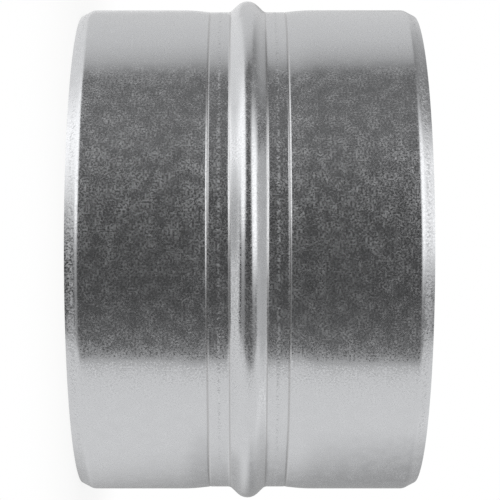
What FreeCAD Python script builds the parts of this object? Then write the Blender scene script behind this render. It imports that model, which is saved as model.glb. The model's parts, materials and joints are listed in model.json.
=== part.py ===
"""Round duct connector for a 125 mm air duct, rolled from one strip of galvanised sheet steel.

The strip is bent into a tube and its ends are lapped and welded along one side. One end steps in under
the other, so the outside of the lap stays flush. A bead is then rolled round the middle, where it stops
the ducts that are pushed over both ends. The roll also presses a shallow groove on both sides of the
bead, and both rims are drawn in a little, so that a duct slides on easily.

Millimetres. +Z runs along the tube, and the origin is at the middle of the rim that it stands on.
The lapped seam is on the +Y side.
"""

import FreeCAD, Part

import math
import os

from FreeCAD import Vector

# Overall sizes
SPIGOT_DIAMETER = 124.1  # outside of each end; a duct of nominal 125 slides over it
LENGTH = 85.0
SHEET = 0.5

# Drawn-in rims
LEAD_IN_LENGTH = 3.5
LEAD_IN_DROP = 1.4  # how far the rim lies inside the spigot, on the radius

# Bead
BEAD_HEIGHT = 2.8  # above the floor of the groove
BEAD_FLANK_DEG = 42.0
BEAD_CROWN_RADIUS = 3.0

# Groove that the beading roll presses on both sides of the bead
ROLL_WIDTH = 18.7  # the roll's edges leave a crease this far apart
GROOVE_DEPTH = 0.5
RAMP_DEG = 8.0  # slope from the crease out to the spigot

# Lapped seam
SEAM_DIRECTION_DEG = 90.0  # from +X to the middle of the lap
LAP_WIDTH = 6.0
JOGGLE_WIDTH = 3.0  # length of sheet that steps in under the other end

AXIS_POINT = Vector(0, 0, 0)
AXIS = Vector(0, 0, 1)
FULL_TURN_DEG = 360.0
SPIGOT_RADIUS = SPIGOT_DIAMETER / 2


def outline():
    """Corners of the outer skin in the XZ plane, from the lower rim up, with the bead's in the middle."""
    floor = SPIGOT_RADIUS - GROOVE_DEPTH
    flank = math.radians(BEAD_FLANK_DEG)
    apex = BEAD_HEIGHT + BEAD_CROWN_RADIUS * (1 / math.cos(flank) - 1)
    foot = apex / math.tan(flank)
    crease = ROLL_WIDTH / 2
    ramp_end = crease + GROOVE_DEPTH / math.tan(math.radians(RAMP_DEG))
    half = LENGTH / 2
    upper = [
        (floor, foot),
        (floor, crease),
        (SPIGOT_RADIUS, ramp_end),
        (SPIGOT_RADIUS, half - LEAD_IN_LENGTH),
        (SPIGOT_RADIUS - LEAD_IN_DROP, half),
    ]
    lower = [(radius, -height) for radius, height in reversed(upper)]
    corners = lower + [(floor + apex, 0.0)] + upper
    return [Vector(radius, 0, half + height) for radius, height in corners]


def offset(corners, depth):
    """Corners of a face of the sheet that lies a depth below the outer skin, the same all along it."""
    runs = [(end - start).normalize() for start, end in zip(corners, corners[1:])]
    normals = [Vector(run.z, 0, -run.x) for run in runs]
    befores = normals[:1] + normals
    afters = normals + normals[-1:]
    return [
        corner - (before + after) * (depth / (1 + before.dot(after)))
        for corner, before, after in zip(corners, befores, afters)
    ]


def arc_points(before, corner, after, radius):
    """Where an arc that rounds a corner starts, its middle, and where it ends."""
    to_before = (before - corner).normalize()
    to_after = (after - corner).normalize()
    half_angle = to_before.getAngle(to_after) / 2
    tangent = radius / math.tan(half_angle)
    inwards = (to_before + to_after).normalize()
    middle = corner + inwards * (radius / math.sin(half_angle) - radius)
    return corner + to_before * tangent, middle, corner + to_after * tangent


def straight_edges(points):
    return [Part.LineSegment(start, end).toShape() for start, end in zip(points, points[1:])]


def skin(depth):
    """Edges of a face of the sheet, a depth below the outer skin: straight runs and an arc over the bead."""
    corners = offset(outline(), depth)
    crown = len(corners) // 2
    lower, upper = corners[:crown], corners[crown + 1:]
    start, middle, end = arc_points(lower[-1], corners[crown], upper[0], BEAD_CROWN_RADIUS - depth)
    arc = Part.Arc(start, middle, end).toShape()
    return straight_edges(lower + [start]) + [arc] + straight_edges([end] + upper)


def section(outer_depth, inner_depth, direction_deg):
    """Closed section of the wall between two faces of the sheet, on a plane through the axis."""
    outer = skin(outer_depth)
    inner = skin(inner_depth)
    upper_cut = Part.LineSegment(outer[-1].lastVertex().Point, inner[-1].lastVertex().Point).toShape()
    lower_cut = Part.LineSegment(inner[0].firstVertex().Point, outer[0].firstVertex().Point).toShape()
    wire = Part.Wire(outer + [upper_cut] + inner[::-1] + [lower_cut])
    wire.rotate(AXIS_POINT, AXIS, direction_deg)
    return wire


def turned(wire, sweep_deg):
    """A section turned about the axis into a solid stretch of wall."""
    return Part.Face(wire).revolve(AXIS_POINT, AXIS, sweep_deg)


def arc_deg(width):
    """The angle that a width of sheet covers round the tube."""
    return math.degrees(width / SPIGOT_RADIUS)


def connector():
    """The rolled wall: a single sheet nearly all round, its joggled end, and the lap that closes it."""
    lap_sweep = arc_deg(LAP_WIDTH)
    joggle_sweep = arc_deg(JOGGLE_WIDTH)
    lap_start = SEAM_DIRECTION_DEG - lap_sweep / 2
    lap_end = lap_start + lap_sweep
    joggle_start = lap_start - joggle_sweep

    lap = turned(section(0, 2 * SHEET, lap_start), lap_sweep)
    single = turned(section(0, SHEET, lap_end), FULL_TURN_DEG - lap_sweep - joggle_sweep)
    flush_end = section(0, SHEET, joggle_start)
    tucked_end = section(SHEET, 2 * SHEET, lap_start)
    joggle = Part.makeLoft([flush_end, tucked_end], True, True)
    return single.multiFuse([joggle, lap]).removeSplitter()


def main():
    os.makedirs("parts", exist_ok=True)
    wall = connector()
    if len(wall.Solids) != 1 or not wall.isValid():
        raise RuntimeError("the connector is not one valid solid")
    wall.Solids[0].exportStep("parts/connector_wall.step")


main()
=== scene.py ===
import json
import math

import bpy
from mathutils import Matrix, Vector


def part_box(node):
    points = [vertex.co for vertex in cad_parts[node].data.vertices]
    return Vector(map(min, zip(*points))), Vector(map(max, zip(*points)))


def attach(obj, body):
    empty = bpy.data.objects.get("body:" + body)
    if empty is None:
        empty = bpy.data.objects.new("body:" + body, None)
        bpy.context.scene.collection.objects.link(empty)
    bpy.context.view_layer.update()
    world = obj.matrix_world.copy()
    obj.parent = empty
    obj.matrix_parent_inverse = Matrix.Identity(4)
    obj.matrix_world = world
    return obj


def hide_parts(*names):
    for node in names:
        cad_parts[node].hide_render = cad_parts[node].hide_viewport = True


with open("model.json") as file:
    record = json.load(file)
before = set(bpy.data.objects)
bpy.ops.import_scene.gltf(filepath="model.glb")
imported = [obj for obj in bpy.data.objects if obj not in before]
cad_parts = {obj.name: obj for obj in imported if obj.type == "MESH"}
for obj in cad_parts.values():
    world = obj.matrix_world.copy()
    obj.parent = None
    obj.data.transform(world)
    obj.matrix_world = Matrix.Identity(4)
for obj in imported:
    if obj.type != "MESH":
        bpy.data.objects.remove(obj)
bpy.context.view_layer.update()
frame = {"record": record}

# Rolled wall: one strip of galvanised steel sheet, bent into a tube with its ends lapped and welded at the
# back. A bead is rolled round the middle, where it stops the ducts that are pushed over both ends. The
# beading roll leaves a shallow groove on both sides of the bead, and its edges leave a fine scored line.
MM = 0.001
wall_low, wall_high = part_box("connector_wall")
length = wall_high.z - wall_low.z
crest_radius = max(wall_high.x, wall_high.y)
spigot_radius = frame["record"]["mounts"][0]["dims"]["r_mm"] * MM
sheet = 0.5 * MM
lead_in_length = 2.9 * MM
lead_in_drop = 1.5 * MM
lead_in_bend = 2.5 * MM
bead_offset = -0.23 * MM
bead_flank = math.radians(43.5)
crown_bend = 3.6 * MM
foot_bend = 1.5 * MM
roll_width = 19.1 * MM
groove_depth = 0.5 * MM
score_width = 0.8 * MM
score_depth = 0.08 * MM
score_bend = 0.2 * MM
score_edge_bend = 0.6 * MM
ramp_slope = math.radians(6)
ramp_bend = 40.0 * MM

# Corners of the outer skin as (radius, height, bend radius): those of the beading roll, which ran a little
# off the middle, and those of the drawn-in rims.
groove_floor = spigot_radius - groove_depth
apex_height = crest_radius - groove_floor + crown_bend * (1 / math.cos(bead_flank) - 1)
foot = apex_height / math.tan(bead_flank)
crease = roll_width / 2
half_score = score_width / 2
half_length = length / 2
middle_height = wall_low.z + half_length
bead_height = middle_height + bead_offset
rolled_corners = [
    (groove_floor, foot, foot_bend),
    (groove_floor, crease - half_score, score_edge_bend),
    (groove_floor - score_depth, crease, score_bend),
    (groove_floor + half_score * math.tan(ramp_slope), crease + half_score, score_edge_bend),
    (spigot_radius, crease + groove_depth / math.tan(ramp_slope), ramp_bend),
]
rim_corners = [
    (spigot_radius, half_length - lead_in_length, lead_in_bend),
    (spigot_radius - lead_in_drop, half_length, 0.0),
]
lower_half, upper_half = [
    [(radius, bead_height + side * reach, bend) for radius, reach, bend in rolled_corners]
    + [(radius, middle_height + side * reach, bend) for radius, reach, bend in rim_corners]
    for side in (-1, 1)
]
corners = lower_half[::-1] + [(groove_floor + apex_height, bead_height, crown_bend)] + upper_half
corner_mesh = bpy.data.meshes.new("wall_corners")
corner_mesh.from_pydata(
    [(radius, 0.0, height) for radius, height, _ in corners],
    [(i, i + 1) for i in range(len(corners) - 1)],
    [],
)
bends = corner_mesh.attributes.new("bend", "FLOAT", "POINT")
bends.data.foreach_set("value", [bend for _, _, bend in corners])
rolled_wall = bpy.data.objects.new("rolled_wall", corner_mesh)
bpy.context.scene.collection.objects.link(rolled_wall)


def add(tree, kind, links=None, **settings):
    """Adds a node with its settings. Each input named in links is joined to an output, or set to a value."""
    made = tree.nodes.new(kind)
    for name, value in settings.items():
        setattr(made, name, value)
    for socket, source in (links or {}).items():
        if isinstance(source, bpy.types.NodeSocket):
            tree.links.new(source, made.inputs[socket])
        else:
            made.inputs[socket].default_value = source
    return made


def linear(code):
    """The linear colour of an sRGB hex value."""
    channels = [int(code[i : i + 2], 16) / 255 for i in (1, 3, 5)]
    return [c / 12.92 if c <= 0.04045 else ((c + 0.055) / 1.055) ** 2.4 for c in channels] + [1.0]


# Hot-dip galvanised steel with minimised spangle: a zinc skin that is bright but not a mirror. Its fine grain
# is unevenly dull, in patches, with a thin film of oxide on the dull crystals, so dark reflections look
# speckled. The bending rolls leave faint ripples along the tube. The rolls that shaped the bead and the rims
# leave streaks and rings of bite marks. Along the scored lines and the bead's feet a darker tint is painted:
# partly zinc scraped by the roll's edge, partly painted shade in these creases.
grain_size = 0.42 * MM
mottle_size = 3.0 * MM
ripple_size = 1.2 * MM
streak_size = 0.35 * MM
bite_size = 0.55 * MM
bite_place = 6.9 * MM
rim_bite_place = 1.5 * MM
zinc = bpy.data.materials.new("hot_dip_galvanised_steel")
zinc.use_nodes = True
paint = zinc.node_tree
strip = add(paint, "ShaderNodeAttribute", attribute_name="strip").outputs["Vector"]
patterns = {}
for name, size, stretch, detail in (
    ("grain", grain_size, (1.0, 0.85, 1.0), 1.5),
    ("mottle", mottle_size, (1.0, 1.0, 1.0), 3.0),
    ("ripple", ripple_size, (1.0, 0.06, 1.0), 1.0),
    ("streak", streak_size, (0.02, 1.0, 1.0), 1.0),
    ("bite", bite_size, (1.0, 0.7, 1.0), 0.0),
):
    laid = add(paint, "ShaderNodeMapping", {"Vector": strip, "Scale": stretch})
    patterns[name] = add(
        paint,
        "ShaderNodeTexNoise",
        {"Vector": laid.outputs[0], "Scale": 1 / size, "Detail": detail},
    ).outputs["Fac"]
heat = add(paint, "ShaderNodeAttribute", attribute_name="weld_heat").outputs["Fac"]

# How far each place lies from the middle of the bead and of the tube, where the rolls worked, the rings of
# bite marks that they left, and the scored lines and the bead's feet, where a darker tint with painted shade
# goes.
place = add(paint, "ShaderNodeTexCoord").outputs["Object"]
height = add(paint, "ShaderNodeSeparateXYZ", {0: place}).outputs["Z"]
above_bead = add(paint, "ShaderNodeMath", {0: height, 1: bead_height}, operation="SUBTRACT").outputs[0]
above_middle = add(paint, "ShaderNodeMath", {0: height, 1: middle_height}, operation="SUBTRACT").outputs[0]
from_bead = add(paint, "ShaderNodeMath", {0: above_bead}, operation="ABSOLUTE").outputs[0]
from_middle = add(paint, "ShaderNodeMath", {0: above_middle}, operation="ABSOLUTE").outputs[0]
in_groove = add(
    paint,
    "ShaderNodeMapRange",
    {"Value": from_bead, "From Min": crease, "From Max": crease - MM},
).outputs[0]
in_rim = add(
    paint,
    "ShaderNodeMapRange",
    {"Value": from_middle, "From Min": half_length - lead_in_length, "From Max": half_length},
).outputs[0]
worked = add(paint, "ShaderNodeMath", {0: in_groove, 1: in_rim}, operation="MAXIMUM").outputs[0]
rings = {}
for name, distance, ring_place, reach in (
    ("bead bites", from_bead, bite_place, 0.55 * MM),
    ("rim bites", from_middle, half_length - rim_bite_place, 1.0 * MM),
    ("score", from_bead, crease, 0.35 * MM),
    ("foot", from_bead, foot, 0.25 * MM),
):
    beside = add(paint, "ShaderNodeMath", {0: distance, 1: ring_place}, operation="SUBTRACT")
    from_ring = add(paint, "ShaderNodeMath", {0: beside.outputs[0]}, operation="ABSOLUTE")
    rings[name] = add(
        paint,
        "ShaderNodeMapRange",
        {"Value": from_ring.outputs[0], "From Min": reach, "From Max": 0.3 * reach},
    ).outputs[0]
in_bites = add(paint, "ShaderNodeMath", {0: rings["bead bites"], 1: rings["rim bites"]}, operation="MAXIMUM")
# The scored lines and the bead's feet get a darker tint: partly zinc scraped by the roll's edge, partly
# painted shade in these creases.
scraped_and_shaded = add(paint, "ShaderNodeMath", {0: rings["score"], 1: rings["foot"]}, operation="MAXIMUM")

tone = add(
    paint,
    "ShaderNodeMath",
    {0: patterns["grain"], 1: 0.2, 2: patterns["mottle"]},
    operation="MULTIPLY_ADD",
)
pale_share = add(
    paint,
    "ShaderNodeMapRange",
    {"Value": tone.outputs[0], "From Min": 0.4, "From Max": 0.8},
).outputs[0]
# Colours: random pale patches; a darker tint on the scored lines and the bead's feet, partly painted shade;
# the weld's heat tint.
colour = linear("#c3c4c6")
for share, next_colour in (
    (pale_share, linear("#c9cacc")),
    (scraped_and_shaded.outputs[0], linear("#b1b1b2")),
    (heat, linear("#8c8883")),
):
    colour = add(
        paint,
        "ShaderNodeMix",
        {"Factor": share, 6: colour, 7: next_colour},
        data_type="RGBA",
    ).outputs[2]
grain_share = add(
    paint,
    "ShaderNodeMapRange",
    {"Value": patterns["grain"], "From Min": 0.33, "From Max": 0.67},
)
even_share = add(paint, "ShaderNodeMath", {0: grain_share.outputs[0], 1: 0.7}, operation="POWER")
patch_share = add(
    paint,
    "ShaderNodeMapRange",
    {"Value": patterns["mottle"], "From Min": 0.35, "From Max": 0.65, "To Min": 0.57, "To Max": 1.0},
)
speckle = add(
    paint,
    "ShaderNodeMath",
    {0: even_share.outputs[0], 1: patch_share.outputs[0]},
    operation="MULTIPLY",
)
grain_gloss = add(
    paint,
    "ShaderNodeMapRange",
    {"Value": speckle.outputs[0], "To Min": 0.09, "To Max": 0.42},
)
oxide_free = add(
    paint,
    "ShaderNodeMapRange",
    {"Value": speckle.outputs[0], "To Min": 1.0, "To Max": 0.95},
)
dull_bite = add(
    paint,
    "ShaderNodeMapRange",
    {"Value": patterns["bite"], "From Min": 0.5, "From Max": 0.62, "To Max": 0.22},
)
bitten_gloss = add(
    paint,
    "ShaderNodeMath",
    {0: dull_bite.outputs[0], 1: in_bites.outputs[0], 2: grain_gloss.outputs[0]},
    operation="MULTIPLY_ADD",
)
burnt_gloss = add(
    paint,
    "ShaderNodeMath",
    {0: heat, 1: 0.12, 2: bitten_gloss.outputs[0]},
    operation="MULTIPLY_ADD",
)

# Heights of the marks in millimetres, added up.
streaked = add(paint, "ShaderNodeMath", {0: patterns["streak"], 1: worked}, operation="MULTIPLY").outputs[0]
bite_depth = add(paint, "ShaderNodeMath", {0: patterns["bite"], 1: 0.5}, operation="SUBTRACT")
bitten = add(
    paint,
    "ShaderNodeMath",
    {0: bite_depth.outputs[0], 1: in_bites.outputs[0]},
    operation="MULTIPLY",
).outputs[0]
relief = add(paint, "ShaderNodeMath", {0: patterns["grain"], 1: 0.003}, operation="MULTIPLY").outputs[0]
for mark, mark_height in ((patterns["ripple"], 0.005), (streaked, 0.004), (bitten, 0.03)):
    relief = add(
        paint,
        "ShaderNodeMath",
        {0: mark, 1: mark_height, 2: relief},
        operation="MULTIPLY_ADD",
    ).outputs[0]
bump = add(paint, "ShaderNodeBump", {"Height": relief, "Strength": 1.0, "Distance": MM})
zinc_shader = paint.nodes["Principled BSDF"]
paint.links.new(oxide_free.outputs[0], zinc_shader.inputs["Metallic"])
paint.links.new(colour, zinc_shader.inputs["Base Color"])
paint.links.new(burnt_gloss.outputs[0], zinc_shader.inputs["Roughness"])
paint.links.new(bump.outputs[0], zinc_shader.inputs["Normal"])

# Sheared steel: the bare core of the sheet, where the strip was cut. Fine burnish lines cross the edge.
burnish_size = 0.25 * MM
cut_edge = bpy.data.materials.new("sheared_steel_edge")
cut_edge.use_nodes = True
paint = cut_edge.node_tree
strip = add(paint, "ShaderNodeAttribute", attribute_name="strip").outputs["Vector"]
burnish = add(paint, "ShaderNodeTexNoise", {"Vector": strip, "Scale": 1 / burnish_size, "Detail": 2.0})
edge_colour = add(
    paint,
    "ShaderNodeMix",
    {"Factor": burnish.outputs["Fac"], 6: linear("#8f8c88"), 7: linear("#b9b7b3")},
    data_type="RGBA",
)
edge_gloss = add(
    paint,
    "ShaderNodeMapRange",
    {"Value": burnish.outputs["Fac"], "To Min": 0.25, "To Max": 0.5},
)
edge_shader = paint.nodes["Principled BSDF"]
edge_shader.inputs["Metallic"].default_value = 1.0
paint.links.new(edge_colour.outputs[2], edge_shader.inputs["Base Color"])
paint.links.new(edge_gloss.outputs[0], edge_shader.inputs["Roughness"])

# The strip's nodes: the corners are bent into an outline, and the outline is carried round the tube. One end
# steps in under the other, and a row of weld marks is pressed into the lap.
strip_sizes = {
    "Points per bend": 6,
    "Row spacing": 0.7 * MM,
    "Spigot radius": spigot_radius,
    "Wall columns": 120,
    "Seam columns": 26,
    "Seam direction": math.radians(90),
    "Lap width": 6.0 * MM,
    "Joggle width": 3.0 * MM,
    "Joggle depth": sheet + 0.01 * MM,
    "Weld pitch": 3.2 * MM,
    "Weld width": 3.4 * MM,
    "Weld depth": 0.15 * MM,
    "Heat reach": 5.0 * MM,
}
rolling = bpy.data.node_groups.new("rolled_strip", "GeometryNodeTree")
rolling.is_modifier = True
rolling.interface.new_socket("Corners", in_out="INPUT", socket_type="NodeSocketGeometry")
strip_inputs = {}
for name, value in strip_sizes.items():
    kind = "NodeSocketInt" if isinstance(value, int) else "NodeSocketFloat"
    strip_inputs[name] = rolling.interface.new_socket(name, in_out="INPUT", socket_type=kind)
rolling.interface.new_socket("Wall", in_out="OUTPUT", socket_type="NodeSocketGeometry")
given = add(rolling, "NodeGroupInput").outputs

corner_line = add(rolling, "GeometryNodeMeshToCurve", {"Mesh": given["Corners"]})
bend_radius = add(rolling, "GeometryNodeInputNamedAttribute", {"Name": "bend"}, data_type="FLOAT")
bent_line = add(
    rolling,
    "GeometryNodeFilletCurve",
    {
        "Curve": corner_line.outputs[0],
        "Count": given["Points per bend"],
        "Radius": bend_radius.outputs[0],
        "Limit Radius": True,
    },
    mode="POLY",
)
index = add(rolling, "GeometryNodeInputIndex").outputs[0]
position = add(rolling, "GeometryNodeInputPosition").outputs[0]
following = add(rolling, "ShaderNodeMath", {0: index, 1: 1.0}, operation="ADD")
next_point = add(
    rolling,
    "GeometryNodeFieldAtIndex",
    {"Value": position, "Index": following.outputs[0]},
    data_type="FLOAT_VECTOR",
)
gap = add(rolling, "ShaderNodeVectorMath", {0: position, 1: next_point.outputs[0]}, operation="DISTANCE")
cuts = add(
    rolling,
    "ShaderNodeMath",
    {0: gap.outputs["Value"], 1: given["Row spacing"]},
    operation="DIVIDE",
)
outline = add(
    rolling,
    "GeometryNodeSubdivideCurve",
    {"Curve": bent_line.outputs[0], "Cuts": cuts.outputs[0]},
).outputs[0]

rows = add(rolling, "GeometryNodeAttributeDomainSize", {0: outline}, component="CURVE").outputs["Point Count"]
main_end = add(rolling, "ShaderNodeMath", {0: given["Seam columns"], 1: given["Wall columns"]}).outputs[0]
tucked_end = add(rolling, "ShaderNodeMath", {0: main_end, 1: given["Seam columns"]}).outputs[0]
columns = add(rolling, "ShaderNodeMath", {0: tucked_end, 1: 1.0}).outputs[0]
grid = add(rolling, "GeometryNodeMeshGrid", {"Vertices X": columns, "Vertices Y": rows})
row = add(rolling, "ShaderNodeMath", {0: index, 1: rows}, operation="MODULO").outputs[0]
column_start = add(rolling, "ShaderNodeMath", {0: index, 1: row}, operation="SUBTRACT")
column = add(rolling, "ShaderNodeMath", {0: column_start.outputs[0], 1: rows}, operation="DIVIDE").outputs[0]
sampled = {}
for name, field, kind in (
    ("point", position, "FLOAT_VECTOR"),
    ("tangent", add(rolling, "GeometryNodeInputTangent").outputs[0], "FLOAT_VECTOR"),
    ("run", add(rolling, "GeometryNodeSplineParameter").outputs["Length"], "FLOAT"),
):
    sampled[name] = add(
        rolling,
        "GeometryNodeSampleIndex",
        {"Geometry": outline, "Value": field, "Index": row},
        data_type=kind,
    ).outputs[0]

# How far each column lies along the strip, from the free edge of the lap to the tucked end.
turn = add(
    rolling,
    "ShaderNodeMath",
    {0: given["Spigot radius"], 1: 2 * math.pi},
    operation="MULTIPLY",
).outputs[0]
joggle_start = add(
    rolling,
    "ShaderNodeMath",
    {0: turn, 1: given["Joggle width"]},
    operation="SUBTRACT",
).outputs[0]
main_run = add(
    rolling,
    "ShaderNodeMath",
    {0: joggle_start, 1: given["Lap width"]},
    operation="SUBTRACT",
).outputs[0]
tucked_run = add(rolling, "ShaderNodeMath", {0: given["Joggle width"], 1: given["Lap width"]}).outputs[0]
lap_part = add(
    rolling,
    "ShaderNodeMapRange",
    {"Value": column, "From Min": 0.0, "From Max": given["Seam columns"], "To Max": given["Lap width"]},
)
main_part = add(
    rolling,
    "ShaderNodeMapRange",
    {"Value": column, "From Min": given["Seam columns"], "From Max": main_end, "To Max": main_run},
)
tucked_part = add(
    rolling,
    "ShaderNodeMapRange",
    {"Value": column, "From Min": main_end, "From Max": tucked_end, "To Max": tucked_run},
)
lap_and_main = add(rolling, "ShaderNodeMath", {0: lap_part.outputs[0], 1: main_part.outputs[0]})
along_strip = add(
    rolling,
    "ShaderNodeMath",
    {0: lap_and_main.outputs[0], 1: tucked_part.outputs[0]},
).outputs[0]

# The step of the joggle, and the weld marks at their pitch along the middle of the lap.
step = add(
    rolling,
    "ShaderNodeMapRange",
    {"Value": along_strip, "From Min": joggle_start, "From Max": turn, "To Max": given["Joggle depth"]},
    interpolation_type="SMOOTHSTEP",
)
half_lap = add(rolling, "ShaderNodeMath", {0: given["Lap width"], 1: 0.5}, operation="MULTIPLY")
from_seam = add(
    rolling,
    "ShaderNodeMath",
    {0: along_strip, 1: half_lap.outputs[0]},
    operation="SUBTRACT",
).outputs[0]
half_turn = add(rolling, "ShaderNodeMath", {0: turn, 1: 0.5}, operation="MULTIPLY").outputs[0]
half_turn_back = add(rolling, "ShaderNodeMath", {0: turn, 1: -0.5}, operation="MULTIPLY").outputs[0]
across_seam = add(
    rolling,
    "ShaderNodeMath",
    {0: from_seam, 1: half_turn, 2: half_turn_back},
    operation="WRAP",
).outputs[0]
half_pitch = add(rolling, "ShaderNodeMath", {0: given["Weld pitch"], 1: 0.5}, operation="MULTIPLY")
half_pitch_back = add(rolling, "ShaderNodeMath", {0: given["Weld pitch"], 1: -0.5}, operation="MULTIPLY")
along_weld = add(
    rolling,
    "ShaderNodeMath",
    {0: sampled["run"], 1: half_pitch.outputs[0], 2: half_pitch_back.outputs[0]},
    operation="WRAP",
)
to_weld = add(rolling, "ShaderNodeCombineXYZ", {"X": across_seam, "Y": along_weld.outputs[0]})
weld_distance = add(rolling, "ShaderNodeVectorMath", {0: to_weld.outputs[0]}, operation="LENGTH")
weld_radius = add(rolling, "ShaderNodeMath", {0: given["Weld width"], 1: 0.5}, operation="MULTIPLY")
weld_mark = add(
    rolling,
    "ShaderNodeMapRange",
    {"Value": weld_distance.outputs["Value"], "From Min": weld_radius.outputs[0], "From Max": 0.0},
    interpolation_type="SMOOTHSTEP",
).outputs[0]
depth = add(
    rolling,
    "ShaderNodeMath",
    {0: weld_mark, 1: given["Weld depth"], 2: step.outputs[0]},
    operation="MULTIPLY_ADD",
).outputs[0]

# Each point moves in from the outline by that depth, square to the sheet, and turns about the tube's axis.
outwards = add(
    rolling,
    "ShaderNodeVectorMath",
    {0: (0.0, 1.0, 0.0), 1: sampled["tangent"]},
    operation="CROSS_PRODUCT",
)
moved_in = add(
    rolling,
    "ShaderNodeVectorMath",
    {0: outwards.outputs[0], "Scale": depth},
    operation="SCALE",
)
section_point = add(
    rolling,
    "ShaderNodeVectorMath",
    {0: sampled["point"], 1: moved_in.outputs[0]},
    operation="SUBTRACT",
)
seam_angle = add(
    rolling,
    "ShaderNodeMath",
    {0: from_seam, 1: given["Spigot radius"]},
    operation="DIVIDE",
)
angle = add(rolling, "ShaderNodeMath", {0: seam_angle.outputs[0], 1: given["Seam direction"]})
turned_point = add(
    rolling,
    "ShaderNodeVectorRotate",
    {"Vector": section_point.outputs[0], "Angle": angle.outputs[0]},
    rotation_type="Z_AXIS",
)
placed = add(
    rolling,
    "GeometryNodeSetPosition",
    {"Geometry": grid.outputs["Mesh"], "Position": turned_point.outputs[0]},
)
on_strip = add(rolling, "ShaderNodeCombineXYZ", {"X": along_strip, "Y": sampled["run"]})
with_strip = add(
    rolling,
    "GeometryNodeStoreNamedAttribute",
    {"Geometry": placed.outputs[0], "Name": "strip", "Value": on_strip.outputs[0]},
    data_type="FLOAT_VECTOR",
)
seam_reach = add(rolling, "ShaderNodeMath", {0: across_seam}, operation="ABSOLUTE")
heat_band = add(
    rolling,
    "ShaderNodeMapRange",
    {"Value": seam_reach.outputs[0], "From Min": given["Heat reach"], "From Max": 0.0},
    interpolation_type="SMOOTHSTEP",
)
weld_heat = add(
    rolling,
    "ShaderNodeMath",
    {0: weld_mark, 1: -0.7, 2: heat_band.outputs[0]},
    operation="MULTIPLY_ADD",
    use_clamp=True,
)
with_heat = add(
    rolling,
    "GeometryNodeStoreNamedAttribute",
    {"Geometry": with_strip.outputs[0], "Name": "weld_heat", "Value": weld_heat.outputs[0]},
    data_type="FLOAT",
)
smooth = add(rolling, "GeometryNodeSetShadeSmooth", {"Geometry": with_heat.outputs[0]})
realized = add(rolling, "GeometryNodeRealizeInstances", {"Geometry": smooth.outputs[0]})
coated = add(rolling, "GeometryNodeSetMaterial", {"Geometry": realized.outputs[0], "Material": zinc})
add(rolling, "NodeGroupOutput", {"Wall": coated.outputs[0]})

roll = rolled_wall.modifiers.new("roll", "NODES")
roll.node_group = rolling
for name, socket in strip_inputs.items():
    roll[socket.identifier] = strip_sizes[name]
corner_mesh.materials.append(zinc)
corner_mesh.materials.append(cut_edge)
gauge = rolled_wall.modifiers.new("gauge", "SOLIDIFY")
gauge.thickness = sheet
gauge.offset = -1.0
gauge.material_offset_rim = 1
evaluated = rolled_wall.evaluated_get(bpy.context.evaluated_depsgraph_get())
wall_mesh = bpy.data.meshes.new_from_object(evaluated)
rolled_wall.modifiers.clear()
rolled_wall.data = wall_mesh
wall_mesh.materials.clear()
wall_mesh.materials.append(zinc)
wall_mesh.materials.append(cut_edge)
wall_mesh.set_sharp_from_angle(angle=math.radians(35))
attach(rolled_wall, "root")
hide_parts("connector_wall")

# Floor: a round table top of matt white board, which the tube stands on. Its edge fades into the white
# background. The wall mirrors the white room through it, except inside the tube, where it closes the view.
floor_radius = 0.16
floor_sides = 96
floor_white = 0.82


def seen_share(tree):
    """1 for what the camera sees, also in a mirror or through glass, and 0 for the light on other things."""
    rays = add(tree, "ShaderNodeLightPath").outputs
    seen = rays["Is Camera Ray"]
    for ray in ("Is Glossy Ray", "Is Transmission Ray"):
        seen = add(tree, "ShaderNodeMath", {0: seen, 1: rays[ray]}, operation="MAXIMUM").outputs[0]
    return seen


board = bpy.data.materials.new("matt_white_board")
board.use_nodes = True
paint = board.node_tree
paint.nodes.remove(paint.nodes["Principled BSDF"])
object_place = add(paint, "ShaderNodeTexCoord").outputs["Object"]
from_axis = add(paint, "ShaderNodeVectorMath", {0: object_place}, operation="LENGTH")
edge_fade = add(
    paint,
    "ShaderNodeMapRange",
    {
        "Value": from_axis.outputs["Value"],
        "From Min": spigot_radius,
        "From Max": floor_radius,
        "To Min": floor_white,
        "To Max": 1.0,
    },
    interpolation_type="SMOOTHSTEP",
)
white_share = add(
    paint,
    "ShaderNodeMath",
    {0: edge_fade.outputs[0], 1: seen_share(paint)},
    operation="MULTIPLY",
)
matt = add(paint, "ShaderNodeBsdfDiffuse", {"Color": linear("#f2f2f0")})
white = add(paint, "ShaderNodeEmission", {"Color": linear("#ffffff"), "Strength": 1.0})
board_mix = add(
    paint,
    "ShaderNodeMixShader",
    {0: white_share.outputs[0], 1: matt.outputs[0], 2: white.outputs[0]},
)
paint.links.new(board_mix.outputs[0], paint.nodes["Material Output"].inputs["Surface"])
shaded_board = bpy.data.materials.new("matt_white_board_in_shade")
shaded_board.use_nodes = True
shaded_shader = shaded_board.node_tree.nodes["Principled BSDF"]
shaded_shader.inputs["Base Color"].default_value = linear("#f2f2f0")
shaded_shader.inputs["Roughness"].default_value = 0.9
rim_radius = spigot_radius - lead_in_drop
edge_points = []
for edge_radius in (rim_radius, floor_radius):
    for i in range(floor_sides):
        around = 2 * math.pi * i / floor_sides
        edge_points.append((edge_radius * math.cos(around), edge_radius * math.sin(around), 0.0))
outer_faces = []
for i in range(floor_sides):
    following_side = (i + 1) % floor_sides
    outer_faces.append((i, following_side, floor_sides + following_side, floor_sides + i))
for name, faces, cover, mirrored in (
    ("table_inside", [range(floor_sides)], shaded_board, True),
    ("table_top", outer_faces, board, False),
):
    floor_mesh = bpy.data.meshes.new(name)
    floor_mesh.from_pydata(edge_points, [], faces)
    floor_mesh.materials.append(cover)
    floor = bpy.data.objects.new(name, floor_mesh)
    bpy.context.scene.collection.objects.link(floor)
    floor.visible_glossy = mirrored
    floor.visible_shadow = mirrored

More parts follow.
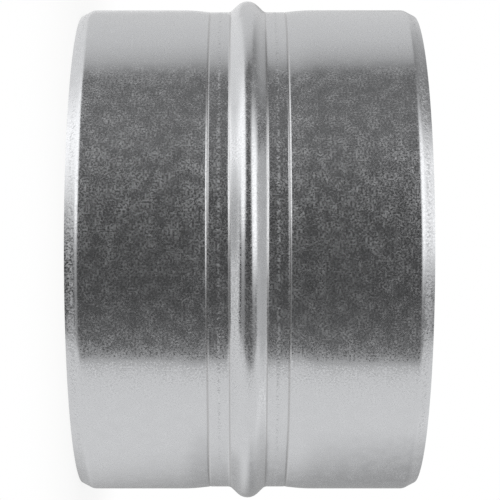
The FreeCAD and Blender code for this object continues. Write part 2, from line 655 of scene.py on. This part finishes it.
# White studio: an even white room all round, which the camera sees as plain white. The zinc mirrors it
# wherever no screen or card stands in front.
room_fill = 0.8
room = bpy.data.worlds.new("white_room")
room.use_nodes = True
bpy.context.scene.world = room
paint = room.node_tree
room_strength = add(
    paint,
    "ShaderNodeMapRange",
    {"Value": seen_share(paint), "To Min": room_fill, "To Max": 1.0},
)
paint.nodes["Background"].inputs["Color"].default_value = linear("#ffffff")
paint.links.new(room_strength.outputs[0], paint.nodes["Background"].inputs["Strength"])

# Screens, which only the zinc mirrors. The front one stands round the camera's side, dark at the height of
# the tube, with soft lights above and below. A grey one stands behind, and a grey card hangs overhead and
# another lies underneath. They give the wall its dark band, and the bead and the rims their highlights.
screen_radius = 0.95
screen_step = 4
screen_lean = 0.003
screen_flare = 0.0002
flare_start = -18
light_border = 8
middle = Vector((0.0, 0.0, middle_height))


def ease(value, start, end):
    """Rises smoothly from 0 at start to 1 at end."""
    share = min(max((value - start) / (end - start), 0.0), 1.0)
    return share * share * (3 - 2 * share)


def front_tone(turn_deg, rise_deg):
    """The front screen's tone: its dark band, and the soft lights below and above it."""
    band = 0.08 + 0.08 * ease(turn_deg, -15, -51) + 0.11 * ease(turn_deg, 10, 65)
    band += 0.47 * ease(turn_deg, 86, 97) + 0.2 * ease(turn_deg, 93, 114) - 0.1 * ease(turn_deg, 130, 160)
    low = 0.35 + 0.3 * ease(turn_deg, -30, 10) + 1.1 * ease(turn_deg, -2, 20)
    lowest = 1.7 * ease(turn_deg, 0, 70)
    low += (lowest - low) * ease(rise_deg, -48, -60) - 0.7 * ease(turn_deg, 70, 105)
    high = 0.3 + 1.5 * ease(turn_deg, -27, 8) * ease(turn_deg, 77, 41)
    high += 0.45 * ease(turn_deg, 90, 138) - 0.15 * ease(rise_deg, 48, 60)
    band_edge = 22 - 8 * ease(turn_deg, -5, 40)
    in_low = ease(rise_deg, -band_edge, -band_edge - light_border)
    in_high = ease(rise_deg, band_edge, band_edge + light_border)
    return band + (low - band) * in_low + (high - band) * in_high


def back_tone(turn_deg, rise_deg):
    """The back screen's tone: darkest straight behind the tube, with a slanted border, and paler above."""
    slanted = turn_deg - 2.4 * min(max(rise_deg, -9), 9)
    shade = max(ease(slanted, -93, -155), ease(turn_deg, -150, -178))
    return 1.0 - 0.58 * shade + 0.45 * ease(rise_deg, 8, 56)


def seen_at(turn_deg, rise_deg):
    """A place on the screens: turned from the camera's side towards -X, and raised, as seen from the tube."""
    spread = 1 + screen_lean * rise_deg + screen_flare * min(0, rise_deg - flare_start) ** 2
    around = math.radians(turn_deg) * spread
    outward = Vector((-math.sin(around), -math.cos(around), math.tan(math.radians(rise_deg))))
    return middle + outward * screen_radius


screen_points, screen_tones, screen_faces = [], [], []
for turns, rises, tone_at in (
    (range(-51, 160, screen_step), range(-68, 77, screen_step), front_tone),
    (range(-196, -91, screen_step), range(-32, 57, screen_step), back_tone),
):
    for i, turn_deg in enumerate(turns):
        for j, rise_deg in enumerate(rises):
            if i and j:
                corner = len(screen_points)
                screen_faces.append((corner, corner - 1, corner - 1 - len(rises), corner - len(rises)))
            screen_points.append(seen_at(turn_deg, rise_deg))
            screen_tones.append(tone_at(turn_deg, rise_deg))
for low_x, high_x, half_depth, card_height, card_grey in (
    (-0.45, 0.45, 0.45, screen_radius, 0.65),
    (-0.27, 0.03, 0.25, -screen_radius, 0.58),
):
    first_corner = len(screen_points)
    for x, side in ((low_x, -1), (high_x, -1), (high_x, 1), (low_x, 1)):
        screen_points.append(Vector((x, side * half_depth, card_height)))
        screen_tones.append(card_grey)
    screen_faces.append(range(first_corner, len(screen_points)))
screen_mesh = bpy.data.meshes.new("screens")
screen_mesh.from_pydata(screen_points, [], screen_faces)
tones = screen_mesh.attributes.new("tone", "FLOAT", "POINT")
tones.data.foreach_set("value", screen_tones)
cloth = bpy.data.materials.new("grey_screen_cloth")
cloth.use_nodes = True
paint = cloth.node_tree
paint.nodes.remove(paint.nodes["Principled BSDF"])
cloth_tone = add(paint, "ShaderNodeAttribute", attribute_name="tone").outputs["Fac"]
cloth_light = add(paint, "ShaderNodeEmission", {"Color": linear("#ffffff"), "Strength": cloth_tone})
paint.links.new(cloth_light.outputs[0], paint.nodes["Material Output"].inputs["Surface"])
screen_mesh.materials.append(cloth)
screens = bpy.data.objects.new("screens", screen_mesh)
bpy.context.scene.collection.objects.link(screens)
screens.visible_camera = False
screens.visible_diffuse = False
screens.visible_shadow = False

# Softbox: a large lamp above the camera, which lights the table top. The zinc mirrors the screens in its
# place.
softbox_width = 0.6
softbox_distance = 0.7
softbox_radiance = 1.45
softbox = bpy.data.lights.new("softbox", "AREA")
softbox.shape = "SQUARE"
softbox.size = softbox_width
softbox.energy = softbox_radiance * math.pi * softbox_width**2
away = (seen_at(24, 42) - middle).normalized()
across = away.cross(Vector((0, 0, 1))).normalized()
lamp_axes = Matrix((across, away.cross(across), away)).transposed().to_4x4()
lamp = bpy.data.objects.new("softbox", softbox)
lamp.matrix_world = Matrix.Translation(middle + away * softbox_distance) @ lamp_axes
lamp.visible_glossy = False
bpy.context.scene.collection.objects.link(lamp)

# Camera: a little below the bead and square to the tube, and turned on its side, so that the tube lies across
# the picture.
camera_distance = 0.4813
camera_height = 0.0399
picture_size = 500
camera = bpy.data.cameras.new("camera")
camera.lens = 132.4
camera.sensor_width = 36.0
camera.shift_x = 11.8 / picture_size
camera.shift_y = -0.6 / picture_size
camera_object = bpy.data.objects.new("camera", camera)
camera_right, camera_up, camera_back = Vector((0, 0, 1)), Vector((-1, 0, 0)), Vector((0, -1, 0))
camera_axes = Matrix((camera_right, camera_up, camera_back)).transposed().to_4x4()
camera_place = Vector((0, 0, camera_height)) + camera_back * camera_distance
camera_object.matrix_world = Matrix.Translation(camera_place) @ camera_axes
bpy.context.scene.collection.objects.link(camera_object)
bpy.context.scene.camera = camera_object
bpy.context.scene.view_settings.view_transform = "Standard"
